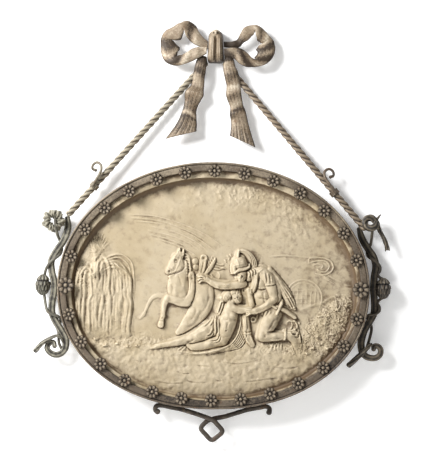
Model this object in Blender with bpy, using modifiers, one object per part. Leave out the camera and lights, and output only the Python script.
"""Oval marble relief plaque in a wrought-iron frame, hung from an iron ribbon bow.

Metres, +Z up, front towards -Y. The origin is the point on the wall behind the knot of the bow.
Lists of places are in millimetres from the middle of the oval: across, up and, third, the depth
from the wall (0) towards the viewer (negative).
"""

import math

import bmesh
import bpy
import numpy as np
from mathutils import Matrix, Vector

MM = 0.001
GAP = 0.0003

# Driving dimensions
HANG_DROP = 0.485
FRAME_WIDTH = 0.6205
FRAME_HEIGHT = 0.4905
WAIST_DROP = 0.005
FULLNESS_UPPER = 2.015
FULLNESS_LOWER = 2.14
FRAME_DEPTH = 0.052
FRAME_SHOULDER = 0.007
FRAME_LIP_WIDTH = 0.003
FRAME_LIP_DROP = 0.003
FRAME_GROOVE = 0.0047
FRAME_FACE_WIDTH = 0.017
FRAME_FACE_FALL = 0.0005
RABBET_WALL = 0.008
RABBET_DEPTH = 0.042
FRAME_STATIONS = 56

MARBLE_INSET = 0.0094
MARBLE_BACK = 0.004
MARBLE_RIM = 0.0415
FIELD_DEPTH = 0.0275
FIELD_HALF_WIDTH = 0.2850
FIELD_HALF_HEIGHT = 0.2205
FIELD_SHIFT = (0.0015, -0.0053)
HOLLOW_WIDTH = 0.012
RELIEF_LIMIT = 0.0185
RELIEF_GRID = 110
RELIEF_TRIANGLES = 2450

ROSETTES_A_QUARTER = 7
ROSETTE_INSET = 0.0178
ROSETTE_RADIUS = 0.0127
END_ROSETTE_RADIUS = 0.0158
ROSETTE_THICKNESS = 0.0065
PETALS = 8
PETAL_NOTCH = 0.80
PETAL_EDGE = 0.55

ROPE_RADIUS = 0.0070
ROPE_PITCH = 0.045
ROPE_STRANDS = 3
ROPE_HOLLOW = 0.72
ROPE_STEP = math.radians(80)
ROPE_TOPS = {"left": (-21.2, 455, -9), "right": (13.2, 453.9, -9)}
ROPE_FEET = {"left": (-296.5, 135.5, -25), "right": (303, 115, -25)}

RIBBON = 0.0028
BAR_WIDTH = 0.0106
BAR_THICKNESS = 0.0068
TENDRIL_RADIUS = 0.0021
PENDANT_RADIUS = 0.0036

COLLECTION = "marble_relief_plaque"
GUIDES = "guides"

IRON_BROWN = ((0.105, 0.080, 0.062, 1.0), 0.52, 0.75)
IRON_GREY = ((0.110, 0.105, 0.090, 1.0), 0.55, 0.75)
IRON_PALE = ((0.235, 0.200, 0.160, 1.0), 0.50, 0.75)
MARBLE = ((0.640, 0.560, 0.420, 1.0), 0.60, 0.0)

SIDES = {"left": -1, "right": 1}


# ---------------------------------------------------------------- scene helpers


def clear_scene():
    """Remove every object, so that the model starts from an empty scene."""
    for thing in list(bpy.data.objects):
        bpy.data.objects.remove(thing, do_unlink=True)


def new_collection(name):
    """Make a collection and link it to the scene."""
    made = bpy.data.collections.new(name)
    bpy.context.scene.collection.children.link(made)
    return made


def finish(name, data, look, collection):
    """Link an object with its own Principled material and smooth shading on round faces."""
    thing = bpy.data.objects.new(name, data)
    collection.objects.link(thing)
    colour, roughness, metallic = look
    material = bpy.data.materials.new(name)
    material.use_nodes = True
    shader = material.node_tree.nodes["Principled BSDF"]
    shader.inputs["Base Color"].default_value = colour
    shader.inputs["Roughness"].default_value = roughness
    shader.inputs["Metallic"].default_value = metallic
    data.materials.append(material)
    if isinstance(data, bpy.types.Mesh):
        data.shade_smooth()
        data.set_sharp_from_angle(angle=math.radians(40))
    return thing


def mesh_from(name, bm):
    """Turn a bmesh into a mesh with its faces pointing out."""
    bmesh.ops.recalc_face_normals(bm, faces=bm.faces)
    data = bpy.data.meshes.new(name)
    bm.to_mesh(data)
    bm.free()
    return data


def place(across, up, depth=0.0):
    """World position of a point given in millimetres from the middle of the oval."""
    return Vector((across * MM, depth * MM, up * MM - HANG_DROP))


def smooth_route(points, steps):
    """Catmull-Rom curve through points of any width, with `steps` spans between neighbours."""
    knots = [2 * np.array(points[0]) - np.array(points[1])]
    knots += [np.array(point, dtype=float) for point in points]
    knots.append(2 * np.array(points[-1]) - np.array(points[-2]))
    route = []
    for index in range(1, len(knots) - 2):
        a, b, c, d = knots[index - 1 : index + 3]
        for step in range(steps):
            t = step / steps
            bend = (2 * a - 5 * b + 4 * c - d) * t**2 + (-a + 3 * b - 3 * c + d) * t**3
            route.append(0.5 * (2 * b + (c - a) * t + bend))
    route.append(knots[-2])
    return route


def rod(name, points, radii, look, collection, steps=1, resolution=1):
    """A bar bent along a smooth route, thicker or thinner at each point, with closed ends."""
    whole = [(*point, radius) for point, radius in zip(points, radii)]
    route = smooth_route(whole, steps)
    curve = bpy.data.curves.new(name, "CURVE")
    curve.dimensions = "3D"
    curve.use_fill_caps = True
    curve.bevel_resolution = resolution
    curve.bevel_depth = 1.0
    spline = curve.splines.new("POLY")
    spline.points.add(len(route) - 1)
    for point, (across, up, depth, radius) in zip(spline.points, route):
        point.co = (*place(across, up, depth), 1.0)
        point.radius = radius
    return finish(name, curve, look, collection)


# ---------------------------------------------------------------- the oval


def oval_point(angle, inset):
    """A point of the oval's edge in a direction seen from its waist, the line where it is widest."""
    below = math.sin(angle) < 0
    power = FULLNESS_LOWER if below else FULLNESS_UPPER
    half_height = FRAME_HEIGHT / 2 + (-WAIST_DROP if below else WAIST_DROP) - inset
    across = abs(math.cos(angle) / (FRAME_WIDTH / 2 - inset)) ** power
    up = abs(math.sin(angle) / half_height) ** power
    reach = (across + up) ** (-1 / power)
    return Vector((reach * math.cos(angle), reach * math.sin(angle) - WAIST_DROP))


def oval_quarter(start, inset, count):
    """Evenly spaced points (with outward normals) over a quarter turn clockwise from `start`."""
    fine = 400
    edge = []
    for index in range(-1, fine + 2):
        edge.append(oval_point(start - index * math.pi / 2 / fine, 0))
    points = []
    for before, here, after in zip(edge, edge[1:], edge[2:]):
        along = (after - before).normalized()
        outward = Vector((-along.y, along.x))
        points.append((here - outward * inset, outward))
    lengths = [0.0]
    for (a, _), (b, _) in zip(points, points[1:]):
        lengths.append(lengths[-1] + (b - a).length)
    picked = []
    for index in range(count):
        wanted = lengths[-1] * index / count
        nearest = min(range(len(lengths)), key=lambda i: abs(lengths[i] - wanted))
        picked.append(points[nearest])
    return picked


def oval_ring(inset, count):
    """Evenly spaced points round the whole oval, clockwise from the top."""
    ring = []
    for quarter in range(4):
        ring += oval_quarter(math.pi / 2 - quarter * math.pi / 2, inset, count // 4)
    return ring


def make_frame(collection):
    """The iron moulding: a section with lip, groove, flat face and rabbet, carried round the oval."""
    face = FRAME_DEPTH - FRAME_LIP_DROP
    section = [
        (0, 0),
        (0, FRAME_DEPTH - FRAME_SHOULDER),
        (FRAME_LIP_WIDTH, FRAME_DEPTH),
        (FRAME_GROOVE, face),
        (FRAME_FACE_WIDTH, face - FRAME_FACE_FALL),
        (FRAME_FACE_WIDTH, RABBET_DEPTH),
        (RABBET_WALL, RABBET_DEPTH),
        (RABBET_WALL, 0),
    ]
    ring = oval_ring(0.0, FRAME_STATIONS)
    bm = bmesh.new()
    loops = []
    for point, outward in ring:
        loop = []
        for inset, depth in section:
            spot = point - outward * inset
            loop.append(bm.verts.new((spot.x, -depth, spot.y)))
        loops.append(loop)
    for loop, following in zip(loops, loops[1:] + loops[:1]):
        for index in range(len(section)):
            after = (index + 1) % len(section)
            bm.faces.new((loop[index], loop[after], following[after], following[index]))
    frame = finish("iron_frame", mesh_from("iron_frame", bm), IRON_BROWN, collection)
    frame.location = (0, 0, -HANG_DROP)


# ---------------------------------------------------------------- rosettes


def rosette_mesh(name, radius):
    """A flat-backed flower of eight petals round a raised boss, facing the viewer."""
    bm = bmesh.new()
    count = PETALS * 2
    back, front = [], []
    for index in range(count):
        reach = radius if index % 2 == 0 else radius * PETAL_NOTCH
        angle = 2 * math.pi * (index + 0.5) / count
        spot = (reach * math.cos(angle), reach * math.sin(angle))
        back.append(bm.verts.new((spot[0], 0, spot[1])))
        front.append(bm.verts.new((spot[0], -ROSETTE_THICKNESS * PETAL_EDGE, spot[1])))
    boss = bm.verts.new((0, -ROSETTE_THICKNESS, 0))
    for index in range(count):
        after = (index + 1) % count
        bm.faces.new((back[index], back[after], front[after], front[index]))
        bm.faces.new((front[index], front[after], boss))
    bm.faces.new(back)
    return mesh_from(name, bm)


def make_rosettes(collection):
    """Twenty-six small rosettes and two larger ones where the long axis meets the frame."""
    small = rosette_mesh("rosette_small", ROSETTE_RADIUS)
    large = rosette_mesh("rosette_large", END_ROSETTE_RADIUS)
    ring = oval_ring(ROSETTE_INSET, ROSETTES_A_QUARTER * 4)
    for index, (spot, outward) in enumerate(ring):
        at_end = index % (2 * ROSETTES_A_QUARTER) == ROSETTES_A_QUARTER
        mesh = (large if at_end else small).copy()
        seat = FRAME_DEPTH + GAP if at_end else FRAME_DEPTH - FRAME_LIP_DROP + GAP
        rosette = finish(f"rosette_{index + 1:02d}", mesh, IRON_BROWN, collection)
        rosette.location = (spot.x, -seat, spot.y - HANG_DROP)
        rosette.rotation_euler = (0, -math.atan2(outward.y, outward.x), 0)


# ---------------------------------------------------------------- the marble

# Each limb is a chain of joints: across, up, radius and height of its crest above the field.
LIMBS = {
    "horse head": [(-92, 26, 6, 9), (-78, 36, 8.5, 11), (-66, 51, 10, 12), (-62, 60, 7, 11)],
    "horse jaw": [(-84, 19, 4, 8), (-77, 27, 6, 9)],
    "horse ear": [(-64, 62, 4, 10), (-66, 76, 1.5, 8)],
    "horse neck": [(-62, 52, 11, 10), (-57, 28, 15, 11), (-62, 5, 20, 13), (-66, -12, 18, 13)],
    "horse body": [(-60, -5, 20, 13), (-35, -15, 24, 14), (-20, -20, 19, 12)],
    "horse belly": [(-25, -25, 22, 13), (-25, -50, 18, 10), (-50, -78, 11, 7)],
    "near upper foreleg": [(-45, 20, 7, 15), (-43, -5, 6.5, 16), (-47, -28, 7, 17)],
    "near forearm": [(-53, -36, 8, 17), (-94, -29, 6, 16)],
    "near cannon": [(-95, -31, 6, 16), (-98, -50, 4.5, 15), (-102, -80, 5.5, 14)],
    "far foreleg": [(-90, -26, 5, 9), (-117, -23, 4.5, 7), (-133, -46, 3, 6), (-143, -61, 3.5, 5)],
    "quiver": [(-19, 56, 5.5, 6), (-28, 20, 2.5, 6)],
    "reaching arm": [(45, 5, 10, 13), (17, 0, 8.5, 15), (-6, 4, 6, 14), (-25, 9, 5.5, 13)],
    "helmet": [(51, 42, 17, 17), (50, 40, 17, 17)],
    "cheek guard": [(38, 28, 6, 15), (41, 11, 4, 13)],
    "warrior face": [(57, 22, 11, 15), (56, 16, 9, 15)],
    "crest": [(47, 60, 4, 14), (53, 71, 4, 15), (68, 69, 4.5, 14), (80, 54, 4.5, 12), (86, 33, 4, 10)],
    "warrior neck": [(70, 22, 15, 12), (96, 18, 17, 16)],
    "warrior shoulder": [(108, 20, 15, 17), (118, 0, 12, 17), (122, -24, 9.5, 18)],
    "warrior forearm": [(122, -26, 9, 18), (98, -43, 7, 18), (68, -52, 6, 18)],
    "warrior chest": [(82, 2, 20, 13), (98, -20, 23, 14), (110, -42, 18, 13)],
    "warrior back": [(122, 8, 12, 13), (131, -28, 11, 12)],
    "kneeling thigh": [(125, -50, 16, 16), (110, -75, 16, 17), (98, -96, 15, 17)],
    "kneeling shin": [(97, -99, 12, 16), (140, -100, 10, 15), (155, -88, 7, 12)],
    "other shin": [(74, -58, 10, 9), (74, -85, 8.5, 10), (80, -112, 9, 9)],
    "cloak": [(126, 22, 8, 9), (148, -18, 9, 9), (165, -46, 7, 7)],
    "sword": [(114, -36, 3, 18), (136, -52, 3, 16)],
    "woman head": [(47, -22, 11, 15), (33, -20, 9, 13)],
    "woman hair": [(27, -30, 7, 11), (15, -47, 6, 9), (6, -64, 5, 8)],
    "woman chest": [(38, -44, 14, 13), (38, -64, 16, 16), (33, -86, 17, 16), (24, -106, 17, 15)],
    "woman arm": [(31, -44, 9, 15), (55, -47, 8, 16), (73, -46, 6.5, 16)],
    "woman upper leg": [(10, -88, 16, 15), (-18, -95, 14, 16), (-60, -110, 9.5, 15), (-120, -125, 4.5, 9)],
    "woman lower leg": [(16, -118, 12, 13), (-15, -124, 11, 14), (-48, -126, 8, 13)],
    "shield": [(164, -86, 12, 10), (170, -112, 12, 9)],
}
SINK = 30.0
DOME = 0.75
SKIRT = 2.0
BLEND = 2.5
# Rings on the sky: across, up, radius, height.
WHEEL = (185, -28, 40, 2.0)
SHAFT_LOOP = (219, 42, 18, 2.2)
RING_WIDTH = 2.5
# The bank: its skyline, how it waves and climbs at the right, and how fast it comes forward.
BANK_LINE = -112
BANK_WAVE = 6
BANK_CLIMB = 0.95
BANK_CLIMB_FROM = 150
BANK_CLIMB_RUN = 90
BANK_FALL = 22
BANK_HEIGHT = 5.5
HUMMOCK = 1.1
# The weeping tree: middle, top, foot, left side and how its crown curves and its strands stand out.
TREE_MIDDLE = -208
TREE_TOP = 53
TREE_FOOT = -104
TREE_LEFT = -290
TREE_CURVE = 0.0235
TREE_HEIGHT = 5.0
STRAND_WIDTH = 3.1
STRAND_RELIEF = 0.45


def limb_height(across, up, joints):
    """Height of a rounded, tapering limb over the field, far below it outside the limb."""
    height = np.full(across.shape, -SINK)
    for (x0, z0, r0, h0), (x1, z1, r1, h1) in zip(joints, joints[1:]):
        run, rise = x1 - x0, z1 - z0
        share = ((across - x0) * run + (up - z0) * rise) / (run * run + rise * rise)
        share = np.clip(share, 0, 1)
        away = np.hypot(across - x0 - share * run, up - z0 - share * rise)
        radius = r0 + (r1 - r0) * share
        dome = DOME * (np.sqrt(np.maximum(radius**2 - away**2, 0)) - radius)
        skirt = np.maximum(away - radius, 0) * SKIRT
        height = np.maximum(height, h0 + (h1 - h0) * share + dome - skirt)
    return height


def blend_over(under, over):
    """The higher of two surfaces, with a soft fillet where they meet."""
    closeness = np.maximum(BLEND - np.abs(under - over), 0) / BLEND
    return np.maximum(under, over) + closeness**2 * BLEND / 4


def ring_height(across, up, ring):
    """A shallow round ridge such as a wheel's rim."""
    x, z, radius, height = ring
    away = np.abs(np.hypot(across - x, up - z) - radius)
    return height * np.exp(-((away / RING_WIDTH) ** 2))


def ground_height(across, up):
    """The bank under the figures, its rise at the right and its hummocks."""
    climb = np.clip(across - BANK_CLIMB_FROM, 0, BANK_CLIMB_RUN) * BANK_CLIMB
    skyline = BANK_LINE + BANK_WAVE * np.sin(across / 31) + climb
    bank = np.clip((skyline - up) / BANK_FALL, 0, 1)
    lumps = HUMMOCK * np.sin(across / 9 + up / 13) * np.sin(up / 7 - across / 21)
    return bank * bank * (3 - 2 * bank) * (BANK_HEIGHT + lumps)


def tree_height(across, up):
    """The drooping tree at the left: long hanging strands under a domed top."""
    crown = TREE_TOP - TREE_CURVE * (across - TREE_MIDDLE) ** 2
    inside = np.clip((crown - up) / 9, 0, 1) * np.clip((up - TREE_FOOT) / 12, 0, 1)
    left_edge = np.clip((across - TREE_LEFT) / 8, 0, 1)
    strands = 1 + STRAND_RELIEF * np.sin(across / STRAND_WIDTH + 0.8 * np.sin(up / 24))
    return inside * left_edge * strands * TREE_HEIGHT


def field_height(across, up):
    """Millimetres above the field at a place: hollow edge, ground, tree and figures."""
    height = ground_height(across, up) + tree_height(across, up)
    height = height + ring_height(across, up, WHEEL) + ring_height(across, up, SHAFT_LOOP)
    for joints in LIMBS.values():
        height = blend_over(height, limb_height(across, up, joints))
    return np.minimum(height, RELIEF_LIMIT / MM)


def marble_front(x, z):
    """Depth from the wall plane to the marble's carved face, in metres."""
    dx, dz = x - FIELD_SHIFT[0], z - FIELD_SHIFT[1]
    power = np.where(dz < 0, FULLNESS_LOWER, FULLNESS_UPPER)
    inside = np.abs(dx / FIELD_HALF_WIDTH) ** power + np.abs(dz / FIELD_HALF_HEIGHT) ** power
    share = inside ** (1 / power)
    from_edge = (1 - share) * np.hypot(dx, dz) / np.maximum(share, 0.05)
    rise = 1 - np.clip(from_edge / HOLLOW_WIDTH, 0, 1)
    hollow = (MARBLE_RIM - FIELD_DEPTH) * (1 - np.sqrt(1 - rise**2))
    fade = np.clip(from_edge / HOLLOW_WIDTH, 0, 1)
    carved = field_height(x / MM, z / MM) * MM * fade
    return FIELD_DEPTH + np.maximum(hollow, carved)


def make_marble(collection):
    """One solid plaque: a grid drawn into the oval, carved in front, flat behind."""
    bm = bmesh.new()
    bmesh.ops.create_grid(bm, x_segments=RELIEF_GRID, y_segments=RELIEF_GRID, size=1)
    spots = np.array([vert.co[:2] for vert in bm.verts])
    u, v = spots[:, 0], spots[:, 1]
    across = u * np.sqrt(1 - v * v / 2)
    up = v * np.sqrt(1 - u * u / 2)
    reach = np.minimum(np.hypot(across, up), 1)
    angle = np.arctan2(up, across)
    edge = np.array([oval_point(a, MARBLE_INSET) for a in angle])
    x, z = reach * edge[:, 0], reach * (edge[:, 1] + WAIST_DROP) - WAIST_DROP
    depth = marble_front(x, z)
    for vert, spot_x, spot_y, spot_z in zip(bm.verts, x, depth, z):
        vert.co = (spot_x, -spot_y, spot_z)
    rim = [edge for edge in bm.edges if edge.is_boundary]
    pulled = bmesh.ops.extrude_edge_only(bm, edges=rim)["geom"]
    for vert in (part for part in pulled if isinstance(part, bmesh.types.BMVert)):
        vert.co.y = -MARBLE_BACK
    bmesh.ops.holes_fill(bm, edges=[edge for edge in bm.edges if edge.is_boundary])
    faces = RELIEF_GRID**2 * 2
    marble = finish("marble_relief", mesh_from("marble_relief", bm), MARBLE, collection)
    marble.location = (0, 0, -HANG_DROP)
    thin = marble.modifiers.new("fewer faces", "DECIMATE")
    thin.ratio = RELIEF_TRIANGLES / faces


# ---------------------------------------------------------------- ropes of twisted iron


def rope_line(side):
    """Top and foot of a twisted bar, as world positions."""
    return place(*ROPE_TOPS[side]), place(*ROPE_FEET[side])


def make_rope(side, collection):
    """Three strands twisted into a straight, rigid bar."""
    top, foot = rope_line(side)
    axis = foot - top
    turn = Vector((0, 0, 1)).rotation_difference(axis).to_matrix()
    spans = round(axis.length / ROPE_PITCH * 2 * math.pi / ROPE_STEP)
    bm = bmesh.new()
    rings = []
    for span in range(spans + 1):
        share = span / spans
        twist = SIDES[side] * share * axis.length / ROPE_PITCH * 2 * math.pi
        ring = []
        for index in range(ROPE_STRANDS * 2):
            reach = ROPE_RADIUS if index % 2 == 0 else ROPE_RADIUS * ROPE_HOLLOW
            angle = math.pi * index / ROPE_STRANDS + twist
            spot = Vector((reach * math.cos(angle), reach * math.sin(angle), 0))
            ring.append(bm.verts.new(top + axis * share + turn @ spot))
        rings.append(ring)
    skin_rings(bm, rings)
    finish(f"rope_{side}", mesh_from(f"rope_{side}", bm), IRON_PALE, collection)


def skin_rings(bm, rings):
    """Join neighbouring rings with faces and close the two ends."""
    for ring, following in zip(rings, rings[1:]):
        for index in range(len(ring)):
            after = (index + 1) % len(ring)
            bm.faces.new((ring[index], ring[after], following[after], following[index]))
    bm.faces.new(rings[0])
    bm.faces.new(rings[-1])


# The strand that curls away, on the right side: outwards, up and depth from the collar's middle.
CURL_ROUTE = [
    (2.8, -0.5, -9), (-5.2, 9.5, -11), (-14.2, 21.5, -11), (-20.2, 32.5, -9), (-19.2, 42.5, -5.5),
    (-11.2, 47.5, -2.5), (-3.2, 42.5, -1.5), (-2.2, 34.5, -1.5), (-8.2, 31.5, -1.5),
]
CURL_RADII = [3.4, 3.0, 2.9, 2.8, 2.8, 2.8, 2.7, 2.7, 3.4]
CURL_RISE = 36
CURL_LEAN = {"left": 6.5, "right": 0}
COLLAR_SHARE = {"left": 0.808, "right": 0.78}
COLLAR_LENGTH = 0.011
COLLAR_RADIUS = 0.0106
COLLAR_PLAY = 0.0007


def curl_route(side):
    """The curl's points in millimetres from the middle of the oval."""
    top, foot = np.array(ROPE_TOPS[side]), np.array(ROPE_FEET[side])
    across, up, depth = top + (foot - top) * COLLAR_SHARE[side]
    points = []
    for outwards, rise, forward in CURL_ROUTE:
        lean = CURL_LEAN[side] * min(max(rise, 0) / CURL_RISE, 1)
        points.append((across + SIDES[side] * (outwards + lean), up + rise, depth + forward))
    return points


def collar_cylinder(name, side, radius, length, collection):
    """A cylinder round the twisted bar where the collar grips it."""
    top, foot = rope_line(side)
    turn = Vector((0, 0, 1)).rotation_difference(foot - top).to_matrix().to_4x4()
    middle = Matrix.Translation(top.lerp(foot, COLLAR_SHARE[side]))
    bm = bmesh.new()
    bmesh.ops.create_cone(
        bm, cap_ends=True, segments=12, radius1=radius, radius2=radius, depth=length,
        matrix=middle @ turn,
    )
    return finish(name, mesh_from(name, bm), IRON_PALE, collection)


def make_rope_curl(side, collection, guides):
    """The collar that grips a twisted bar, with a strand that curls away from it."""
    radii = [radius * MM for radius in CURL_RADII]
    bar = rod(f"curl_bar_{side}", curl_route(side), radii, IRON_PALE, guides)
    strand = solid_from(bar, f"curl_strand_{side}", IRON_PALE, guides)
    bore = ROPE_RADIUS + COLLAR_PLAY
    drill = collar_cylinder(f"collar_bore_{side}", side, bore, COLLAR_LENGTH * 3, guides)
    collar = collar_cylinder(f"rope_curl_{side}", side, COLLAR_RADIUS, COLLAR_LENGTH, collection)
    for tool, operation in ((strand, "UNION"), (drill, "DIFFERENCE")):
        step = collar.modifiers.new(operation.lower(), "BOOLEAN")
        step.operation = operation
        step.solver = "EXACT"
        step.object = tool


def solid_from(curve_object, name, look, collection):
    """A welded mesh of a curve object, in its place; the curve is removed."""
    reader = bpy.context.evaluated_depsgraph_get()
    bm = bmesh.new()
    bm.from_mesh(bpy.data.meshes.new_from_object(curve_object.evaluated_get(reader)))
    bmesh.ops.remove_doubles(bm, verts=bm.verts, dist=0.00002)
    made = finish(name, mesh_from(name, bm), look, collection)
    made.matrix_world = curve_object.matrix_world
    bpy.data.objects.remove(curve_object, do_unlink=True)
    return made


def hide_guides(guides):
    """Cutters and joined strands are not objects of their own."""
    for thing in guides.objects:
        thing.hide_render = True
        thing.display_type = "WIRE"


# ---------------------------------------------------------------- the ribbon bow

# Rows across a ribbon: outer edge (across, up), inner edge (across, up), depth of the middle.
LEFT_LOOP = [
    (-19.6, 494, -20, 479, -19), (-36, 511, -41, 485, -19), (-45, 527, -54, 493, -20),
    (-60, 536, -63, 503, -22), (-77, 532, -67, 512, -23), (-91, 522, -73, 503, -22),
    (-105, 514, -82, 496, -20), (-112, 499, -90, 495, -19), (-112, 483, -83, 486, -20),
    (-110, 466, -78, 476, -22), (-103, 452, -80, 471, -24), (-89, 443, -74, 465, -26),
    (-72, 444, -64, 469, -28), (-52, 451, -52, 477, -30), (-36, 459, -38, 481, -31),
    (-21.4, 467, -20.4, 481, -31),
]
RIGHT_LOOP = [
    (12.4, 495, 13, 483, -19), (29, 495, 32, 482, -19), (40, 500, 44, 483, -20),
    (46, 511, 53, 492, -21), (53, 523, 62, 497, -22), (66, 528, 70, 506, -23),
    (80, 528, 76, 509, -23), (93, 520, 81, 500, -22), (104, 508, 86, 493, -20),
    (114, 496, 83, 487, -19), (117, 481, 80, 480, -20), (114, 466, 82, 473, -22),
    (104, 452, 76, 463, -24), (90, 444, 68, 461, -26), (72, 441, 62, 469, -28),
    (55, 442, 53, 476, -30), (42, 450, 42, 480, -31), (31, 459, 30, 480, -31),
    (14.3, 464, 13.4, 477, -31),
]
# Rows of a hanging end: left edge, right edge, depth of the middle.
LEFT_TAIL = [
    (-40, 466, -21.4, 462, -22), (-44, 448, -20, 448, -22), (-48, 429, -24, 422, -25),
    (-52, 406, -26, 396, -21), (-64, 390, -27, 380, -25), (-65, 370, -38, 361, -20),
    (-70, 349, -40, 341, -24), (-80, 327, -39, 326, -20), (-102, 294, -39, 310, -24),
]
RIGHT_TAIL = [
    (14.3, 467, 30, 470, -22), (14.5, 458, 34, 456, -22), (12, 447, 37, 444, -23),
    (14, 427, 43, 430, -26), (19, 401, 48, 404, -21), (19, 383, 50, 386, -25),
    (27, 361, 54, 366, -20), (27, 346, 60, 350, -24), (30, 327, 66, 324, -20),
    (28, 302, 80, 279, -24),
]
RIBBON_CROWN = 3.0


def make_ribbon(name, rows, steps, collection):
    """Sheet iron bent along rows, its middle bulging forwards, given thickness by Solidify."""
    bm = bmesh.new()
    lines = []
    for outer_x, outer_z, inner_x, inner_z, depth in smooth_route(rows, steps):
        middle = ((outer_x + inner_x) / 2, (outer_z + inner_z) / 2)
        spots = [
            place(outer_x, outer_z, depth),
            place(*middle, depth - RIBBON_CROWN),
            place(inner_x, inner_z, depth),
        ]
        lines.append([bm.verts.new(spot) for spot in spots])
    for line, following in zip(lines, lines[1:]):
        for index in range(2):
            bm.faces.new((line[index], line[index + 1], following[index + 1], following[index]))
    ribbon = finish(name, mesh_from(name, bm), IRON_PALE, collection)
    sheet = ribbon.modifiers.new("sheet", "SOLIDIFY")
    sheet.thickness = RIBBON
    sheet.offset = 0


KNOT_MIDDLE = -3.5
# Rows of the knot from foot to crown: up, half width, depth at the crown of its two folds.
KNOT_ROWS = [
    (454, 13.5, 27), (456, 17, 32), (465, 17, 36), (477, 16, 36), (491, 15, 37),
    (503, 15, 36), (508, 14, 33), (513, 11.5, 29), (517, 7, 23),
]


def make_knot(collection):
    """The knot: two upright folds of ribbon with a domed stud above, flat against the wall."""
    bm = bmesh.new()
    rings = []
    for up, half_width, depth in KNOT_ROWS:
        section = [
            (-1, 0), (-1.02, 0.35), (-0.86, 0.8), (-0.5, 1), (-0.15, 0.88),
            (0.15, 0.88), (0.5, 1), (0.86, 0.8), (1.02, 0.35), (1, 0),
        ]
        ring = []
        for across, forward in section:
            spot = place(KNOT_MIDDLE + across * half_width, up, -forward * depth)
            ring.append(bm.verts.new(spot))
        rings.append(ring)
    skin_rings(bm, rings)
    finish("bow_knot", mesh_from("bow_knot", bm), IRON_PALE, collection)


# ---------------------------------------------------------------- side bars, tendrils, buds

BAR_ROUTES = {
    "left": [
        (-297.5, 133, -14), (-296, 112, -14.5), (-303, 87, -20), (-317, 64, -24),
        (-326.5, 44, -24), (-325, 23, -24), (-320, 3, -24), (-319.5, -17, -24),
        (-323, -38, -24), (-323, -58, -24), (-316.5, -74, -24), (-305, -92, -24),
        (-293.5, -107, -24), (-289, -119, -24), (-292, -134, -24), (-302, -144, -24),
        (-314, -146, -24), (-325.5, -140, -24), (-331, -130, -24), (-327, -121, -24),
        (-319, -119, -24), (-316, -126, -24),
    ],
    "right": [
        (290, 119, -15), (296.5, 98, -16), (308, 78, -21), (318.5, 62, -24),
        (323.5, 43, -24), (320.5, 21, -24), (319.5, -4, -24), (321.5, -27, -24),
        (321, -49, -24), (313.5, -65, -24), (302.5, -84, -24), (296, -106, -24),
        (297, -125, -24), (302, -134, -24), (311, -140, -24), (327, -141, -24),
        (337, -134, -24), (339, -124, -24), (333.5, -115.5, -24), (325, -114.5, -24),
        (322.5, -121, -24),
    ],
}
SCROLL_POINTS = 8
SCROLL_END = 0.62

TENDRIL_ROUTES = {
    "left_upper": [
        (-320, 129, -32), (-318, 112, -32.5), (-315.5, 99, -27), (-313, 89, -16.5),
        (-308.5, 78, -12.8), (-306.8, 67, -19), (-309, 57, -29.5), (-317, 50, -32),
        (-325, 43.5, -31.5), (-335, 31, -28), (-339.5, 16.8, -24),
    ],
    "left_lower": [
        (-339.5, -23.9, -24), (-336.5, -40, -26), (-331.5, -56, -30), (-323, -62, -31.5),
        (-312.5, -65.5, -31), (-306.2, -70, -27), (-306, -77, -20.5), (-309, -84, -17),
        (-311.5, -92, -18.5), (-309, -102, -22), (-307.5, -119, -24), (-303, -130, -24),
    ],
    "right_upper": [
        (315.5, 119.6, -32), (314.5, 103, -29.5), (313.5, 88, -15.5), (308.5, 78, -12.5),
        (306, 68, -17), (309, 61, -29), (317, 56, -32), (326, 49, -31.5),
        (333.5, 40, -28.5), (335.5, 31, -25.5), (339, 19.8, -24),
    ],
    "right_lower": [
        (339, -20.8, -24), (337, -38, -26.5), (331, -49.5, -31), (319, -53, -31.5),
        (310, -54.5, -30), (308.4, -59, -21), (309.8, -66, -16.5), (316, -76, -18),
        (315, -90, -23), (309.5, -111, -24), (305.6, -123, -24),
    ],
}
BUD_MIDDLES = {"left": (-342, -4, -24), "right": (341, -1, -24)}
BUD_RADII = (15, 15, 20.5)


def make_side_bar(side, collection):
    """A wavy flat bar, its width in the plane of the wall, that narrows into a scroll."""
    route = BAR_ROUTES[side]
    plain = len(route) - SCROLL_POINTS
    section = [(1, 0), (0.6, 1), (-0.6, 1), (-1, 0), (-0.6, -1), (0.6, -1)]
    bm = bmesh.new()
    rings = []
    for index, spot in enumerate(route):
        before = np.array(route[max(index - 1, 0)])
        after = np.array(route[min(index + 1, len(route) - 1)])
        run, rise = (after - before)[:2]
        sideways = Vector((rise, 0, -run)).normalized()
        share = max(0, index - plain + 1) / SCROLL_POINTS
        width = BAR_WIDTH / 2 * (1 - (1 - SCROLL_END) * share)
        thick = BAR_THICKNESS / 2
        ring = []
        for across, forward in section:
            corner = place(*spot) + sideways * width * across
            corner.y -= thick * forward
            ring.append(bm.verts.new(corner))
        rings.append(ring)
    skin_rings(bm, rings)
    finish(f"side_bar_{side}", mesh_from(f"side_bar_{side}", bm), IRON_GREY, collection)


def make_tendril(name, collection):
    """A thin rod that winds before and behind its side bar."""
    route = TENDRIL_ROUTES[name]
    radii = [TENDRIL_RADIUS] * len(route)
    rod(f"tendril_{name}", route, radii, IRON_GREY, collection, steps=2, resolution=0)


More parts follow.
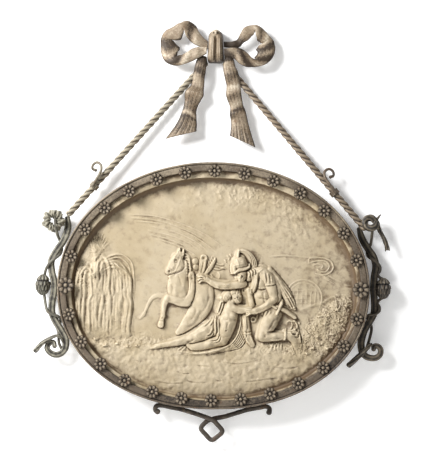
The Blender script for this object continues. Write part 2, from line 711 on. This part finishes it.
def lumpy_ball(name, middle, radii, lumps, collection):
    """An egg with scales or lumps that swell and sink in rows."""
    bm = bmesh.new()
    bmesh.ops.create_uvsphere(bm, u_segments=10, v_segments=7, radius=1)
    for vert in bm.verts:
        row = math.acos(max(-1.0, min(1.0, vert.co.z)))
        turn = math.atan2(vert.co.y, vert.co.x)
        swell = 1 + lumps * (math.cos(5 * turn + 3 * row) - 1)
        vert.co = Vector([c * swell * r * MM for c, r in zip(vert.co, radii)])
    ball = finish(name, mesh_from(name, bm), IRON_GREY, collection)
    ball.location = place(*middle[:2], middle[2])


FLOWER_MIDDLE = (-324.4, 123, -24)
FLOWER_RADIUS = 13.0
FLOWER_TUBE = 5.2


def make_flower(collection):
    """The ring-shaped flower at the head of the left side: a wreath of crumpled petals."""
    bm = bmesh.new()
    around, about = 12, 6
    verts = []
    for index in range(around):
        turn = 2 * math.pi * index / around
        swell = 1 + 0.18 * math.cos(turn * 6)
        ring = []
        for step in range(about):
            lean = 2 * math.pi * step / about
            reach = (FLOWER_RADIUS + FLOWER_TUBE * swell * math.cos(lean)) * MM
            forward = FLOWER_TUBE * swell * math.sin(lean) * MM
            ring.append(bm.verts.new((reach * math.cos(turn), forward, reach * math.sin(turn))))
        verts.append(ring)
    for ring, following in zip(verts, verts[1:] + verts[:1]):
        for step in range(about):
            after = (step + 1) % about
            bm.faces.new((ring[step], ring[after], following[after], following[step]))
    flower = finish("flower_left", mesh_from("flower_left", bm), IRON_GREY, collection)
    flower.location = place(*FLOWER_MIDDLE[:2], FLOWER_MIDDLE[2])


KNOT_LOOP_ROUTE = [
    (350, 78, -24), (343, 97, -24), (335, 114, -24), (332, 128, -24), (327, 140, -24),
    (316, 144.5, -24), (305.5, 142, -24), (302.6, 135, -26), (306.5, 128, -30), (311, 124, -34),
    (320, 127, -34), (322, 134, -31),
]
KNOT_LOOP_RADII = [4.6, 3.4, 3.0, 4.0, 4.0, 3.8, 3.4, 3.2, 3.4, 4.2, 4.4, 3.2]
TWIG_ROUTES = {
    "left": [
        (-356, -137, -29), (-343, -123, -30), (-333, -116, -30.5), (-322, -109, -31),
        (-311, -105.5, -31), (-303.5, -109, -30.4), (-299.5, -117, -29.8),
    ],
    "right": [(315, -112, -31.6), (301, -126, -32.2), (288, -139, -32), (271.5, -154, -30)],
}
TWIG_RADII = {"left": [4.3, 3.8, 3.4, 2.8, 2.3, 2.0, 1.8], "right": [3.0, 3.8, 4.0, 4.6]}

PENDANT_ROUTE = [
    (-107, -253, -24), (-112, -248.5, -24), (-109.5, -242, -24), (-100, -240.2, -24),
    (-80.5, -243.6, -24), (-56.5, -248.2, -25), (-32, -255, -27), (-12, -261.5, -28.6),
    (5, -268.5, -29), (14, -277.5, -28.4), (22.5, -289, -27), (12.4, -300.5, -25.6),
    (1, -308.5, -24.2), (-11, -296, -22.6), (-20, -284, -21.2), (-8.5, -270.5, -20.2),
    (7, -264.5, -20), (26, -260.5, -20.4), (48, -253.5, -21.4), (72, -246, -22.6),
    (96, -241, -24), (108.4, -238.9, -24), (115.4, -242.8, -24), (114.6, -250.5, -24),
]
PENDANT_BALL = 0.0050


def make_pendant(collection):
    """One bent rod below the frame: two arms that cross and close in a diamond loop."""
    radii = [PENDANT_RADIUS] * len(PENDANT_ROUTE)
    radii[0] = radii[-1] = PENDANT_BALL
    rod("pendant", PENDANT_ROUTE, radii, IRON_BROWN, collection)


def main():
    """Build every piece."""
    clear_scene()
    parts = new_collection(COLLECTION)
    guides = new_collection(GUIDES)
    make_frame(parts)
    make_rosettes(parts)
    make_marble(parts)
    make_knot(parts)
    make_ribbon("bow_loop_left", LEFT_LOOP, 2, parts)
    make_ribbon("bow_loop_right", RIGHT_LOOP, 2, parts)
    make_ribbon("bow_tail_left", LEFT_TAIL, 2, parts)
    make_ribbon("bow_tail_right", RIGHT_TAIL, 2, parts)
    for side in SIDES:
        make_rope(side, parts)
        make_rope_curl(side, parts, guides)
        make_side_bar(side, parts)
        make_tendril(f"{side}_upper", parts)
        make_tendril(f"{side}_lower", parts)
        lumpy_ball(f"bud_{side}", BUD_MIDDLES[side], BUD_RADII, 0.05, parts)
        twig_radii = [radius * MM for radius in TWIG_RADII[side]]
        rod(f"twig_{side}", TWIG_ROUTES[side], twig_radii, IRON_GREY, parts)
    make_flower(parts)
    loop_radii = [radius * MM for radius in KNOT_LOOP_RADII]
    rod("knot_right", KNOT_LOOP_ROUTE, loop_radii, IRON_GREY, parts)
    make_pendant(parts)
    hide_guides(guides)


main()
